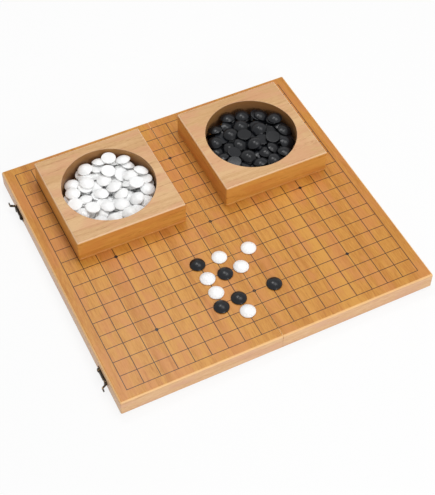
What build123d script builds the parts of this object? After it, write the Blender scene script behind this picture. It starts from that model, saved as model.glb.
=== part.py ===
from build123d import *
import os
from math import ceil, cos, pi, radians, sin, sqrt

import numpy as np

# A folding go board that is also the case for its two stone drawers.
#
# The board lies open. Each half is a shallow tray turned over: a playing panel glued on four
# mitred rails, hollow underneath. Two butt hinges let into the rims of the seam rails join the
# halves, so the undersides fold together and the drawers fit in the closed case. Swing hooks on
# the left end catch headed studs on the right end. The drawers, each a thick block with a round
# well on a thin glued base, are lifted out and stand on the board.
#
# Millimetres. The origin is the middle of the open board in the plane of its rims. +X points
# right, +Y to the back and +Z up. The fold turns about the Y axis.

# ---- Open board ----
BOARD_LENGTH = 470.0            # left to right
BOARD_WIDTH = 440.0             # front to back
HALF_HEIGHT = 26.0              # rims to playing surface
PANEL_THICKNESS = 6.5
RAIL_WIDTH = 15.0
TOP_EDGE_ROUND = 3.5            # outer edges of the playing panel
CORNER_ROUND = 2.0              # upright outer corners of the case
RIM_CHAMFER = 1.0               # lower outer edges of the rails
SEAM_CHAMFER = 0.7              # the two panel edges that meet at the fold
SEAM_GAP = 0.2                  # between the two halves when the board lies open

# ---- Grid that the played stones stand on ----
LINE_COUNT = 19
SIDE_MARGIN = 16.0              # board's end to the outermost column
FRONT_MARGIN = 15.5             # board's front to the outermost row

# ---- Fold hinges ----
HINGE_END_DISTANCE = 80.0       # front or back of the board to the middle of a hinge
HINGE_LENGTH = 36.0
LEAF_WIDTH = 11.0               # fold axis to the leaf's far edge
LEAF_THICKNESS = 1.0
KNUCKLE_RADIUS = 1.25
KNUCKLE_COUNT = 3
KNUCKLE_GAP = 0.2               # end play between neighbouring knuckles
HINGE_PIN_RADIUS = 0.6
HINGE_SCREW_SPACING = 22.0

# ---- Hooks and their plates on the left end ----
BACK_HOOK_DISTANCE = 82.0       # back of the board to the back hook's pivot
FRONT_HOOK_DISTANCE = 69.0      # front of the board to the front hook's pivot
LATCH_HEIGHT = 9.0              # pivots and studs above the rims
HOOK_PLATE_LENGTH = 28.0
HOOK_PLATE_WIDTH = 11.0
HOOK_PLATE_END = 4.5            # pivot to the plate's near end
LATCH_PLATE_THICKNESS = 1.0
LATCH_PLATE_CLIP = 1.6          # chamfer across the plates' corners
HOOK_SCREW_SPACING = 11.0
HOOK_SCREW_START = 8.5          # pivot to the first plate screw
HOOK_THICKNESS = 1.6
HOOK_EYE_RADIUS = 3.3
HOOK_BAR_ABOVE = 2.9            # bar's upper edge above the pivot
HOOK_BAR_BELOW = 1.6            # bar's lower edge below the pivot
HOOK_REACH = 18.0               # pivot to the stud
HOOK_NOSE_WIDTH = 3.6
HOOK_NOSE_ANGLE = 20.0          # how far the nose hangs down, seen from the pivot
THUMB_LENGTH = 9.5              # thumb tab past the nose, along the board
THUMB_RISE = 7.6                # how far the tab curls away from the board
THUMB_WIDTH = 4.0
RIVET_RADIUS = 1.2
RIVET_HEAD_RADIUS = 2.3
RIVET_HEAD_HEIGHT = 0.8

# ---- Catches on the right end ----
CATCH_PLATE_LENGTH = 20.0
CATCH_PLATE_WIDTH = 9.0
CATCH_SCREW_SPACING = 13.0
STUD_RADIUS = 1.5
STUD_HEAD_RADIUS = 2.4
STUD_HEAD_HEIGHT = 0.8
PIN_SIDES = 16                  # rivets and studs have flat facets

# ---- Wood screws for hinges and latches ----
SCREW_RADIUS = 0.9
SCREW_HEAD_RADIUS = 1.8
SCREW_HEAD_HEIGHT = 0.8
SCREW_LENGTH = 9.0
SCREW_TIP_RADIUS = 0.3          # the shank tapers to it
SCREW_SIDES = 8                 # screws and their holes have flat facets
PILOT_SPARE = 1.0               # drilled past the screw's tip

# ---- Stone drawers ----
DRAWER_LENGTH = 164.0           # along X
DRAWER_WIDTH = 166.0            # along Y
DRAWER_HEIGHT = 37.3
DRAWER_BASE_THICKNESS = 3.5
DRAWER_CORNER_ROUND = 2.0
DRAWER_TOP_ROUND = 2.8
WELL_DIAMETER = 135.0
WELL_CHAMFER = 0.8
WHITE_DRAWER_X = -112.5
BLACK_DRAWER_X = 115.0
DRAWER_Y = 98.0

# ---- Stones: flat underside, low rim and domed top ----
STONE_DIAMETER = 22.0
STONE_RIM = 1.7                 # height of the edge under the dome
STONE_DOME = 4.4                # rise of the dome above the edge
STONE_EDGE_BEVEL = 0.5
PLAYED_SIDES = 12               # facets round the stones on the board
PLAYED_BANDS = 2                # and up their domes
HEAPED_SIDES = 7                # the same for the stones that show in the wells
HEAPED_BANDS = 1
BURIED_SIDES = 4                # the stones under them are plain truncated pyramids
BURIED_TOP_RADIUS = 7.5
BURIED_DEPTH = 8.0              # below the top of a heap, where no stone shows

# ---- Heaps in the wells ----
WHITE_HEADROOM = 1.5            # rim of the well to the highest stones, on the right
BLACK_HEADROOM = 5.0
WHITE_DROP = 10.0               # how much lower a heap may reach on the left
BLACK_DROP = 4.0
HEAP_HIGH_SIDE = 20.0           # degrees from +X, where a heap is highest
HEAP_TILTS = (0.0, 9.0, 17.0, 26.0)     # degrees
HEAP_DIRECTIONS = 9
HEAP_UPSIDE_DOWN = 0.25         # share of the stones that lie dome down
HEAP_PLACE_COUNT = 40           # places tried for each stone
HEAP_SPREAD = 0.4               # 0.5 tries all of the well alike, less tries its wall more
HEAP_WAY_COUNT = 12             # leanings tried at each place
HEAP_MISS_COUNT = 40            # stones that may fail to fit before the heap is full
PLANE_UPRIGHT = 1e-6            # a face whose normal is flatter than this stands upright
HEAP_CELL = 0.25                # spacing of the height map
WHITE_SEED = 4
BLACK_SEED = 2

# ---- Clearances ----
HINGE_CLEARANCE = 0.3           # round the knuckles
LEAF_FIT = 0.1                  # leaf in its recess
PIN_FIT = 0.05                  # radial, pins and rivets in their holes
HOOK_CLEARANCE = 0.3            # hook to plate, to rivet head and to stud
SCREW_FIT = 0.05                # radial, screws in their holes
STONE_CLEARANCE = 0.35          # between stones in a heap, and to the well

# Stones on the board: column and row of the grid, counted from the left and from the back, and
# how far each was put down from its crossing, to the right and to the back.
BLACK_PLAYED = (
    (8, 13, -1.9, 5.2),
    (9, 14, 1.4, -2.6),
    (11, 16, 5.2, -1.9),
    (9, 16, -0.6, -2.3),
    (8, 16, -3.9, -5.2),
)
WHITE_PLAYED = (
    (9, 13, 6.6, 3.6),
    (11, 13, 2.1, 0.7),
    (10, 14, 2.2, -1.3),
    (8, 14, 0.0, 0.0),
    (8, 15, 0.1, -3.7),
    (9, 17, 0.5, -4.3),
)

# ---- Worked out from the sizes above ----
HALF_LENGTH = BOARD_LENGTH / 2
RAIL_HEIGHT = HALF_HEIGHT - PANEL_THICKNESS
SEAM_FACE = SEAM_GAP / 2
COLUMN_PITCH = (BOARD_LENGTH - 2 * SIDE_MARGIN) / (LINE_COUNT - 1)
ROW_PITCH = (BOARD_WIDTH - 2 * FRONT_MARGIN) / (LINE_COUNT - 1)
MIDDLE_LINE = (LINE_COUNT + 1) / 2
HINGE_OFFSET = BOARD_WIDTH / 2 - HINGE_END_DISTANCE
HINGE_PLACES = {"front": -HINGE_OFFSET, "back": HINGE_OFFSET}
HOOK_PLACES = {
    "front": (FRONT_HOOK_DISTANCE - BOARD_WIDTH / 2, -1),
    "back": (BOARD_WIDTH / 2 - BACK_HOOK_DISTANCE, 1),
}
HOOK_INNER_FACE = LATCH_PLATE_THICKNESS + HOOK_CLEARANCE
HOOK_OUTER_FACE = HOOK_INNER_FACE + HOOK_THICKNESS
WELL_DEPTH = DRAWER_HEIGHT - DRAWER_BASE_THICKNESS
STONE_HEIGHT = STONE_RIM + STONE_DOME
STONE_RADIUS = STONE_DIAMETER / 2
DOME_RADIUS = (STONE_RADIUS**2 + STONE_DOME**2) / (2 * STONE_DOME)


def block(x_from, x_to, y_from, y_to, z_from, z_to):
    """A box between two corners."""
    size = (x_to - x_from, y_to - y_from, z_to - z_from)
    middle = ((x_from + x_to) / 2, (y_from + y_to) / 2, (z_from + z_to) / 2)
    return Pos(*middle) * Box(*size)


def rod(radius, z_from, z_to):
    """A round bar along Z between two heights."""
    return Pos(0, 0, (z_from + z_to) / 2) * Cylinder(radius, z_to - z_from)


def turned(points):
    """A solid turned about Z from a half outline of (radius, height) points."""
    outline = make_face(Plane.XZ * Polyline(*points, close=True))
    return revolve(outline, Axis.Z)


def to_right(shape):
    """The same piece for the right half of the board."""
    return mirror(shape, about=Plane.YZ)


def faceted(profile, sides):
    """A turned solid with flat facets, from (radius, height) points, lowest first."""
    angles = [2 * pi * i / sides for i in range(sides)]
    rings = [
        [(radius * cos(angle), radius * sin(angle), height) for angle in angles]
        for radius, height in profile
    ]
    faces = [Face(Wire.make_polygon(ring)) for ring in (rings[0], rings[-1])]
    for low, high in zip(rings, rings[1:]):
        for i in range(sides):
            faces.append(Face(Wire.make_polygon([low[i - 1], low[i], high[i], high[i - 1]])))
    return Solid(Shell(faces))


# ---- Fasteners ----

def screw():
    """A countersunk wood screw, head up, with the head's face at the origin."""
    return faceted([
        (SCREW_TIP_RADIUS, -SCREW_LENGTH), (SCREW_RADIUS, -SCREW_HEAD_HEIGHT),
        (SCREW_HEAD_RADIUS, 0),
    ], SCREW_SIDES)


def screw_hole():
    """The drilled and countersunk hole that a screw seats in, cut on past its face."""
    flare = SCREW_HEAD_RADIUS - SCREW_RADIUS
    return faceted([
        (SCREW_TIP_RADIUS + SCREW_FIT, -SCREW_LENGTH - PILOT_SPARE),
        (SCREW_RADIUS + SCREW_FIT, -SCREW_HEAD_HEIGHT),
        (SCREW_RADIUS + SCREW_FIT + 2 * flare, SCREW_HEAD_HEIGHT),
    ], SCREW_SIDES)


def placed(shape, places):
    """Copies of a shape at several locations, as one group."""
    return Compound([shape.moved(place) for place in places])


def drilled(body, cutter, places):
    """A body with the same hole cut at several locations."""
    for place in places:
        body -= cutter.moved(place)
    return body


# ---- Places of the fasteners, as planes whose z axis points out of the wood ----

def hinge_screw_places():
    """Where the left leaves' screws go in, from below."""
    middle = (KNUCKLE_RADIUS + HINGE_CLEARANCE + LEAF_WIDTH) / 2
    return [
        Plane(origin=(-middle, y + side * HINGE_SCREW_SPACING / 2, 0), z_dir=(0, 0, -1)).location
        for y in HINGE_PLACES.values()
        for side in (-1, 1)
    ]


def hook_plane(y, lift=0.0):
    """Left end face at a hook's pivot: z axis out of the wood, y axis up the board's side."""
    return Plane(
        origin=(-HALF_LENGTH - lift, y, LATCH_HEIGHT), x_dir=(0, -1, 0), z_dir=(-1, 0, 0)
    )


def catch_plane(y, lift=0.0):
    """Right end face at a stud: z axis out of the wood, y axis up the board's side."""
    return Plane(
        origin=(HALF_LENGTH + lift, y, LATCH_HEIGHT), x_dir=(0, 1, 0), z_dir=(1, 0, 0)
    )


def hook_screw_places():
    """Where the hook plates' screws go in, on the pivot's line."""
    starts = (HOOK_SCREW_START, HOOK_SCREW_START + HOOK_SCREW_SPACING)
    return [
        hook_plane(y + away * start, LATCH_PLATE_THICKNESS).location
        for y, away in HOOK_PLACES.values()
        for start in starts
    ]


def catch_screw_places():
    """Where the catch plates' screws go in, on both sides of the stud."""
    return [
        catch_plane(y + side * CATCH_SCREW_SPACING / 2, LATCH_PLATE_THICKNESS).location
        for y, _ in HOOK_PLACES.values()
        for side in (-1, 1)
    ]


# ---- Halves of the case ----

def half_panel():
    """The left playing panel, rounded along its three outer edges."""
    panel = block(
        -HALF_LENGTH, -SEAM_FACE, -BOARD_WIDTH / 2, BOARD_WIDTH / 2, RAIL_HEIGHT, HALF_HEIGHT
    )
    upright = panel.edges().filter_by(Axis.Z).group_by(Axis.X)[0]
    panel = fillet(upright, CORNER_ROUND)
    top = panel.edges().group_by(Axis.Z)[-1]
    seam_edge = top.filter_by(Axis.Y).sort_by(Axis.X)[-1]
    panel = fillet([edge for edge in top if edge != seam_edge], TOP_EDGE_ROUND)
    seam_edge = panel.edges().filter_by(Axis.Y).group_by(Axis.Z)[-1].sort_by(Axis.X)[-1]
    return chamfer(seam_edge, SEAM_CHAMFER)


def half_frame():
    """The left half's rails before they are cut at the mitres."""
    frame = block(
        -HALF_LENGTH, -SEAM_FACE, -BOARD_WIDTH / 2, BOARD_WIDTH / 2, 0, RAIL_HEIGHT
    )
    frame = fillet(frame.edges().filter_by(Axis.Z).group_by(Axis.X)[0], CORNER_ROUND)
    low = frame.edges().group_by(Axis.Z)[0]
    seam_edge = low.filter_by(Axis.Y).sort_by(Axis.X)[-1]
    frame = chamfer([edge for edge in low if edge != seam_edge], RIM_CHAMFER)
    return frame - block(
        -HALF_LENGTH + RAIL_WIDTH, -SEAM_FACE - RAIL_WIDTH,
        -BOARD_WIDTH / 2 + RAIL_WIDTH, BOARD_WIDTH / 2 - RAIL_WIDTH, 0, RAIL_HEIGHT,
    )


def mitre_wedges():
    """What each rail keeps of the frame: a wedge between two mitre lines, in plan."""
    outer = {
        (x, y): (-HALF_LENGTH if x < 0 else -SEAM_FACE, y * BOARD_WIDTH / 2)
        for x in (-1, 1) for y in (-1, 1)
    }
    inner = {key: (x - key[0] * RAIL_WIDTH, y - key[1] * RAIL_WIDTH)
             for key, (x, y) in outer.items()}
    ends = {
        "outer": ((-1, -1), (-1, 1)),
        "back": ((-1, 1), (1, 1)),
        "seam": ((1, 1), (1, -1)),
        "front": ((1, -1), (-1, -1)),
    }
    return {
        name: extrude(
            make_face(Polyline(outer[a], outer[b], inner[b], inner[a], close=True)), RAIL_HEIGHT
        )
        for name, (a, b) in ends.items()
    }


def leaf_recess(y):
    """What is cut from the seam rail for one leaf and the knuckles beside it."""
    half = HINGE_LENGTH / 2 + LEAF_FIT
    notch = KNUCKLE_RADIUS + HINGE_CLEARANCE
    recess = block(-LEAF_WIDTH - LEAF_FIT, 0, y - half, y + half, 0, LEAF_THICKNESS)
    return recess + block(-notch, 0, y - half, y + half, 0, notch)


def half_rails():
    """The left half's four rails, with the hinge recesses and their pilot holes."""
    frame = half_frame()
    rails = {name: frame & wedge for name, wedge in mitre_wedges().items()}
    for y in HINGE_PLACES.values():
        rails["seam"] -= leaf_recess(y)
    rails["seam"] = drilled(rails["seam"], screw_hole(), hinge_screw_places())
    return rails


def case_halves():
    """Panels and rails of both halves, by name."""
    rails = half_rails()
    pieces = {"left_panel": half_panel()}
    pieces["right_panel"] = to_right(pieces["left_panel"])
    for name, rail in rails.items():
        pieces[f"left_{name}_rail"] = rail
        pieces[f"right_{name}_rail"] = to_right(rail)
    left, right = "left_outer_rail", "right_outer_rail"
    pieces[left] = drilled(pieces[left], screw_hole(), hook_screw_places())
    pieces[right] = drilled(pieces[right], screw_hole(), catch_screw_places())
    return pieces


# ---- Hinges ----

def knuckle_spans():
    """Start and end of each knuckle along a hinge, from the hinge's middle."""
    pitch = HINGE_LENGTH / KNUCKLE_COUNT
    starts = [-HINGE_LENGTH / 2 + pitch * i for i in range(KNUCKLE_COUNT)]
    return [(start + KNUCKLE_GAP / 2, start + pitch - KNUCKLE_GAP / 2) for start in starts]


def along_fold(radius, y_from, y_to):
    """A round bar on the fold axis."""
    return Pos(0, (y_from + y_to) / 2, 0) * Rot(90, 0, 0) * Cylinder(radius, y_to - y_from)


def hinge_leaf(y, spans):
    """A leaf on the left side of the fold, with the knuckles that it carries."""
    edge = KNUCKLE_RADIUS + HINGE_CLEARANCE
    half = HINGE_LENGTH / 2
    leaf = block(-LEAF_WIDTH, -edge, y - half, y + half, 0, LEAF_THICKNESS)
    for start, end in spans:
        leaf += block(-edge, 0, y + start, y + end, 0, LEAF_THICKNESS)
        leaf += along_fold(KNUCKLE_RADIUS, y + start, y + end)
    leaf -= along_fold(HINGE_PIN_RADIUS + PIN_FIT, y - half, y + half)
    return drilled(leaf, screw_hole(), hinge_screw_places())


def hinges():
    """Both hinges: the outer knuckles are on the left leaf and the middle one on the right."""
    pieces = {}
    spans = knuckle_spans()
    half = HINGE_LENGTH / 2
    for place, y in HINGE_PLACES.items():
        pieces[f"{place}_hinge_left_leaf"] = hinge_leaf(y, spans[0::2])
        pieces[f"{place}_hinge_right_leaf"] = to_right(hinge_leaf(y, spans[1::2]))
        pieces[f"{place}_hinge_pin"] = along_fold(HINGE_PIN_RADIUS, y - half, y + half)
    screws = placed(screw(), hinge_screw_places())
    pieces["left_hinge_screws"] = screws
    pieces["right_hinge_screws"] = to_right(screws)
    return pieces


# ---- Hooks: drawn from the pivot, x along the plate, y up and z away from the board ----

def ring_sector(inner, outer, start, end):
    """A flat piece of a ring between two radii and two angles in degrees."""
    span = end - start
    ring = Circle(outer) - Circle(inner)
    corners = [
        (2 * outer * cos(radians(start + span * i / 2)), 2 * outer * sin(radians(start + span * i / 2)))
        for i in range(3)
    ]
    return ring & make_face(Polyline((0, 0), *corners, close=True))


def stud_slot():
    """The path that a stud takes into the hook's jaw, with its clearance."""
    half = STUD_RADIUS + HOOK_CLEARANCE
    way_in = ring_sector(HOOK_REACH - half, HOOK_REACH + half, -2 * HOOK_NOSE_ANGLE, 0)
    return way_in + Pos(HOOK_REACH, 0) * Circle(half)


def hook_outline():
    """Eye, bar and down-turned nose of a hook in front view, with the jaw cut out."""
    nose_from = HOOK_REACH + STUD_RADIUS + HOOK_CLEARANCE
    nose_to = nose_from + HOOK_NOSE_WIDTH
    width = HOOK_BAR_ABOVE + HOOK_BAR_BELOW
    middle = (HOOK_BAR_ABOVE - HOOK_BAR_BELOW) / 2
    bar = Pos(nose_to / 2, middle) * Rectangle(nose_to, width)
    nose = ring_sector(nose_from, nose_to, -HOOK_NOSE_ANGLE, 0)
    outline = Circle(HOOK_EYE_RADIUS) + bar + nose - stud_slot()
    return outline - Circle(RIVET_RADIUS + PIN_FIT)


def thumb_tab():
    """The tab past the nose: a strip that bends away from the board and back along it."""
    start = HOOK_REACH + STUD_RADIUS + HOOK_CLEARANCE + HOOK_NOSE_WIDTH
    lift = THUMB_RISE - HOOK_THICKNESS
    run = THUMB_LENGTH / 2
    inner = [
        (start, 0), (start + run / 3, 0), (start + run, lift), (start + 2 * run, lift),
    ]
    outer = [(x - HOOK_THICKNESS / 3, z + HOOK_THICKNESS) for x, z in inner[1:3]]
    points = inner + [(inner[3][0], inner[3][1] + HOOK_THICKNESS), outer[1], outer[0],
                      (start, HOOK_THICKNESS)]
    side = make_face(Plane.XZ * Polyline(*points, close=True))
    low = (HOOK_BAR_ABOVE - HOOK_BAR_BELOW - THUMB_WIDTH) / 2
    return extrude(side, THUMB_WIDTH, dir=(0, 1, 0)).moved(Pos(0, low, 0))


def hook():
    """A swing hook as it lies beside the plate, from the eye to the thumb tab."""
    return extrude(hook_outline(), HOOK_THICKNESS) + thumb_tab()


def latch_plate(length, width, hole_radius):
    """A thin plate with clipped corners and the hole for its rivet or stud at the origin."""
    outline = Rectangle(length, width)
    plate = extrude(chamfer(outline.vertices(), LATCH_PLATE_CLIP), LATCH_PLATE_THICKNESS)
    return plate, rod(hole_radius + PIN_FIT, 0, LATCH_PLATE_THICKNESS)


def hook_plate():
    """The plate under a hook, from the pivot's near end outwards."""
    plate, hole = latch_plate(HOOK_PLATE_LENGTH, HOOK_PLATE_WIDTH, RIVET_RADIUS)
    return plate.moved(Pos(HOOK_PLATE_LENGTH / 2 - HOOK_PLATE_END, 0, 0)) - hole


def catch_plate():
    """The plate that holds a stud in its middle."""
    plate, hole = latch_plate(CATCH_PLATE_LENGTH, CATCH_PLATE_WIDTH, STUD_RADIUS)
    return plate - hole


def headed_pin(radius, head_radius, head_height):
    """A pin from the back of a latch plate to a head that just clears the hook."""
    under_head = HOOK_OUTER_FACE + HOOK_CLEARANCE
    return faceted([
        (radius, 0), (radius, under_head), (head_radius, under_head),
        (head_radius, under_head + head_height),
    ], PIN_SIDES)


def rivet():
    """The pivot that holds a hook on its plate."""
    return headed_pin(RIVET_RADIUS, RIVET_HEAD_RADIUS, RIVET_HEAD_HEIGHT)


def stud():
    """The headed stud that a hook closes on."""
    return headed_pin(STUD_RADIUS, STUD_HEAD_RADIUS, STUD_HEAD_HEIGHT)


def hung(shape, y, away):
    """A hook-side piece on the left end, running away from the board's middle."""
    if away > 0:
        shape = mirror(shape, about=Plane.YZ)
    return shape.moved(hook_plane(y).location)


def latches():
    """Hooks with their plates on the left end, and the catches on the right end."""
    pieces = {}
    for place, (y, away) in HOOK_PLACES.items():
        plate = drilled(hung(hook_plate(), y, away), screw_hole(), hook_screw_places())
        catch = catch_plate().moved(catch_plane(y).location)
        lift = Pos(0, 0, HOOK_INNER_FACE)
        pieces[f"{place}_hook_plate"] = plate
        pieces[f"{place}_hook"] = hung(hook().moved(lift), y, away)
        pieces[f"{place}_hook_rivet"] = hung(rivet(), y, away)
        pieces[f"{place}_catch_plate"] = drilled(catch, screw_hole(), catch_screw_places())
        pieces[f"{place}_catch_stud"] = stud().moved(catch_plane(y).location)
    pieces["hook_plate_screws"] = placed(screw(), hook_screw_places())
    pieces["catch_plate_screws"] = placed(screw(), catch_screw_places())
    return pieces


# ---- Drawers ----

def drawer_block():
    """The thick upper part of a drawer: soft top edges and a round well right through."""
    height = DRAWER_HEIGHT - DRAWER_BASE_THICKNESS
    body = Pos(0, 0, height / 2) * Box(DRAWER_LENGTH, DRAWER_WIDTH, height)
    body = fillet(body.edges().filter_by(Axis.Z), DRAWER_CORNER_ROUND)
    body = fillet(body.edges().group_by(Axis.Z)[-1], DRAWER_TOP_ROUND)
    radius = WELL_DIAMETER / 2
    return body - turned([
        (0, 0), (radius, 0), (radius, height - WELL_CHAMFER), (radius + WELL_CHAMFER, height),
        (0, height),
    ])


def drawer_base():
    """The thin base glued under the block."""
    outline = RectangleRounded(DRAWER_LENGTH, DRAWER_WIDTH, DRAWER_CORNER_ROUND)
    return extrude(outline, DRAWER_BASE_THICKNESS)


def drawers():
    """Both drawers, standing on the playing surface."""
    pieces = {}
    for colour, x in (("white", WHITE_DRAWER_X), ("black", BLACK_DRAWER_X)):
        foot = Pos(x, DRAWER_Y, HALF_HEIGHT)
        pieces[f"{colour}_drawer_base"] = drawer_base().moved(foot)
        pieces[f"{colour}_drawer_block"] = drawer_block().moved(foot * Pos(0, 0, DRAWER_BASE_THICKNESS))
    return pieces


# ---- Stones ----

def dome_height(radius):
    """Height of the domed top above the underside at a distance from the stone's middle."""
    return STONE_HEIGHT - DOME_RADIUS + sqrt(DOME_RADIUS**2 - radius**2)


def dome_profile(bands):
    """Points of the domed top in a number of bands, from the edge to near the middle."""
    radii = [STONE_RADIUS * cos(pi / 2 * band / (bands + 0.5)) for band in range(bands + 1)]
    return [(radius, dome_height(radius)) for radius in radii]


def centred(profile):
    """A stone's profile with the middle of its height at the origin."""
    return [(radius, height - STONE_HEIGHT / 2) for radius, height in profile]


def played_profile():
    """A stone with a bevelled lower edge."""
    edge = [(STONE_RADIUS - STONE_EDGE_BEVEL, 0), (STONE_RADIUS, STONE_EDGE_BEVEL)]
    return centred(edge + dome_profile(PLAYED_BANDS))


def heaped_profile():
    """A stone that shows in a well."""
    return centred([(STONE_RADIUS, 0)] + dome_profile(HEAPED_BANDS))


def buried_profile():
    """A stone under the others, inside the outline of a whole one."""
    return centred([(STONE_RADIUS, 0), (BURIED_TOP_RADIUS, dome_height(BURIED_TOP_RADIUS))])


def face_planes(profile, sides):
    """Outward normals of a faceted solid's faces, and how far out each face lies."""
    normals, reaches = [(0, 0, -1), (0, 0, 1)], [-profile[0][1], profile[-1][1]]
    flat = cos(pi / sides)
    for (radius, height), (next_radius, next_height) in zip(profile, profile[1:]):
        rise, shrink = next_height - height, (radius - next_radius) * flat
        for i in range(sides):
            turn = 2 * pi * (i - 0.5) / sides
            normals.append((rise * cos(turn), rise * sin(turn), shrink))
            reaches.append(rise * radius * flat + shrink * height)
    return np.array(normals), np.array(reaches)


def leanings():
    """Every way that a heaped stone may lie, as directions of its own x and z axes."""
    ways = []
    for tilt in HEAP_TILTS:
        low, high = sin(radians(tilt)), cos(radians(tilt))
        for step in range(HEAP_DIRECTIONS if tilt else 1):
            turn = 2 * pi * step / HEAP_DIRECTIONS + radians(tilt)
            across = (high * cos(turn), high * sin(turn), -low)
            dome = (low * cos(turn), low * sin(turn), high)
            ways.append((across, dome))
            ways.append((across, tuple(-value for value in dome)))
    return ways


def stone_spans(planes, leaning, x, y):
    """Lowest and highest point of a leaning faceted stone over each place (x, y)."""
    across, dome = leaning
    normals = planes[0] @ np.array([across, np.cross(dome, across), dome])
    low, high = np.full(x.shape, -np.inf), np.full(x.shape, np.inf)
    hit = np.full(x.shape, True)
    for normal, reach in zip(normals, planes[1]):
        left = reach - normal[0] * x - normal[1] * y
        if normal[2] > PLANE_UPRIGHT:
            high = np.minimum(high, left / normal[2])
        elif normal[2] < -PLANE_UPRIGHT:
            low = np.maximum(low, left / normal[2])
        else:
            hit &= left > 0
    hit &= high > low
    return np.where(hit, low, np.inf), np.where(hit, high, -np.inf)


def height_map(half_width):
    """An empty well as a map of heights, with a wall too high for any stone round it."""
    grid = np.arange(-half_width, half_width + 1) * HEAP_CELL
    x, y = np.meshgrid(grid, grid, indexing="ij")
    wall = WELL_DIAMETER / 2 - STONE_CLEARANCE
    return np.where(np.hypot(x, y) > wall, 2 * DRAWER_HEIGHT, 0.0)


def heap_ceiling(x, y, headroom, drop):
    """Highest point allowed for a stone at (x, y): the heap slopes down from its high side."""
    side = radians(HEAP_HIGH_SIDE)
    towards = (x * cos(side) + y * sin(side)) / (WELL_DIAMETER / 2)
    return WELL_DEPTH - headroom - drop * (1 - towards) / 2


def heap_places(headroom, drop, seed):
    """Places and leanings of the stones in a well, as if dropped in one after another.

    A map holds the height of the heap over each cell of the well. Each stone is tried at a few
    places and leanings, rests on the map, and stays where its middle comes lowest. Stones deep
    in the heap take the plain form.
    """
    random = np.random.default_rng(seed)
    ways = leanings()
    patch = ceil(STONE_RADIUS / HEAP_CELL) + 1
    x, y = np.meshgrid(*[np.arange(-patch, patch + 1) * HEAP_CELL] * 2, indexing="ij")
    forms = (face_planes(heaped_profile(), HEAPED_SIDES), face_planes(buried_profile(), BURIED_SIDES))
    spans = np.array([[stone_spans(form, way, x, y) for way in ways] for form in forms])
    lows, highs = spans[:, :, 0], spans[:, :, 1]
    tops = highs.max(axis=(2, 3))
    reach = WELL_DIAMETER / 2 - STONE_RADIUS * cos(radians(max(HEAP_TILTS)))
    middle = ceil(reach / HEAP_CELL) + patch
    heights = height_map(middle)
    places, misses = [], 0
    while misses < HEAP_MISS_COUNT:
        best = (np.inf,)
        dome_down = random.random() < HEAP_UPSIDE_DOWN
        for _ in range(HEAP_PLACE_COUNT):
            radius, turn = reach * random.random() ** HEAP_SPREAD, 2 * pi * random.random()
            i, j = round(radius * cos(turn) / HEAP_CELL), round(radius * sin(turn) / HEAP_CELL)
            picks = 2 * random.choice(len(ways) // 2, HEAP_WAY_COUNT, replace=False) + dome_down
            under = heights[middle + i - patch:middle + i + patch + 1,
                            middle + j - patch:middle + j + patch + 1]
            rests = (under - lows[:, picks]).max(axis=(2, 3)) + STONE_CLEARANCE
            ceiling = heap_ceiling(i * HEAP_CELL, j * HEAP_CELL, headroom, drop)
            forms_used = np.where(rests[0] > ceiling - BURIED_DEPTH, 0, 1)
            rest = np.choose(forms_used, rests)
            rest[rest + tops[forms_used, picks] > ceiling] = np.inf
            pick = int(np.argmin(rest))
            if rest[pick] < best[0]:
                best = (rest[pick], i, j, forms_used[pick], picks[pick], under)
        if len(best) == 1:
            misses += 1
            continue
        rest, i, j, form, pick, under = best
        np.maximum(under, highs[form, pick] + rest, out=under)
        places.append(((i * HEAP_CELL, j * HEAP_CELL, float(rest)), ways[pick], form))
    return places


def heap(x, headroom, drop, seed):
    """The loose stones in one drawer, with fewer facets on the ones that no one sees."""
    floor = HALF_HEIGHT + DRAWER_BASE_THICKNESS
    forms = (faceted(heaped_profile(), HEAPED_SIDES), faceted(buried_profile(), BURIED_SIDES))
    stones = []
    for place, (across, dome), form in heap_places(headroom, drop, seed):
        middle = (x + place[0], DRAWER_Y + place[1], floor + place[2])
        spot = Plane(origin=middle, x_dir=across, z_dir=dome)
        stones.append(forms[form].moved(spot.location))
    return Compound(stones)


def played_stones(colour, places):
    """The stones on the board, each put down near a crossing of the grid."""
    piece = faceted(played_profile(), PLAYED_SIDES)
    pieces = {}
    for number, (column, row, right, back) in enumerate(places, start=1):
        x = (column - MIDDLE_LINE) * COLUMN_PITCH + right
        y = (MIDDLE_LINE - row) * ROW_PITCH + back
        spot = Pos(x, y, HALF_HEIGHT + STONE_HEIGHT / 2)
        pieces[f"{colour}_played_stone_{number}"] = piece.moved(spot)
    return pieces


def go_board():
    """Every piece of the set by its name."""
    pieces = {**case_halves(), **hinges(), **latches(), **drawers()}
    pieces["white_stones"] = heap(WHITE_DRAWER_X, WHITE_HEADROOM, WHITE_DROP, WHITE_SEED)
    pieces["black_stones"] = heap(BLACK_DRAWER_X, BLACK_HEADROOM, BLACK_DROP, BLACK_SEED)
    pieces.update(played_stones("black", BLACK_PLAYED))
    pieces.update(played_stones("white", WHITE_PLAYED))
    return pieces


os.makedirs("parts", exist_ok=True)
for name, piece in go_board().items():
    export_step(piece, f"parts/{name}.step")
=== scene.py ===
"""Looks of a folding go board with two stone drawers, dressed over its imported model.

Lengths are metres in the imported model's frame: the origin is the middle of the open board in the
plane of its rims, +X points right, +Y to the back and +Z up. The board, its rails and most of
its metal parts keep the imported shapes, with softened edges. Drawers, stones, rivets and studs are
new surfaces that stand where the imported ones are.
"""
import logging
import math
from dataclasses import dataclass
from enum import Enum

import bmesh
import bpy
import numpy as np
from mathutils import Matrix, Vector


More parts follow.
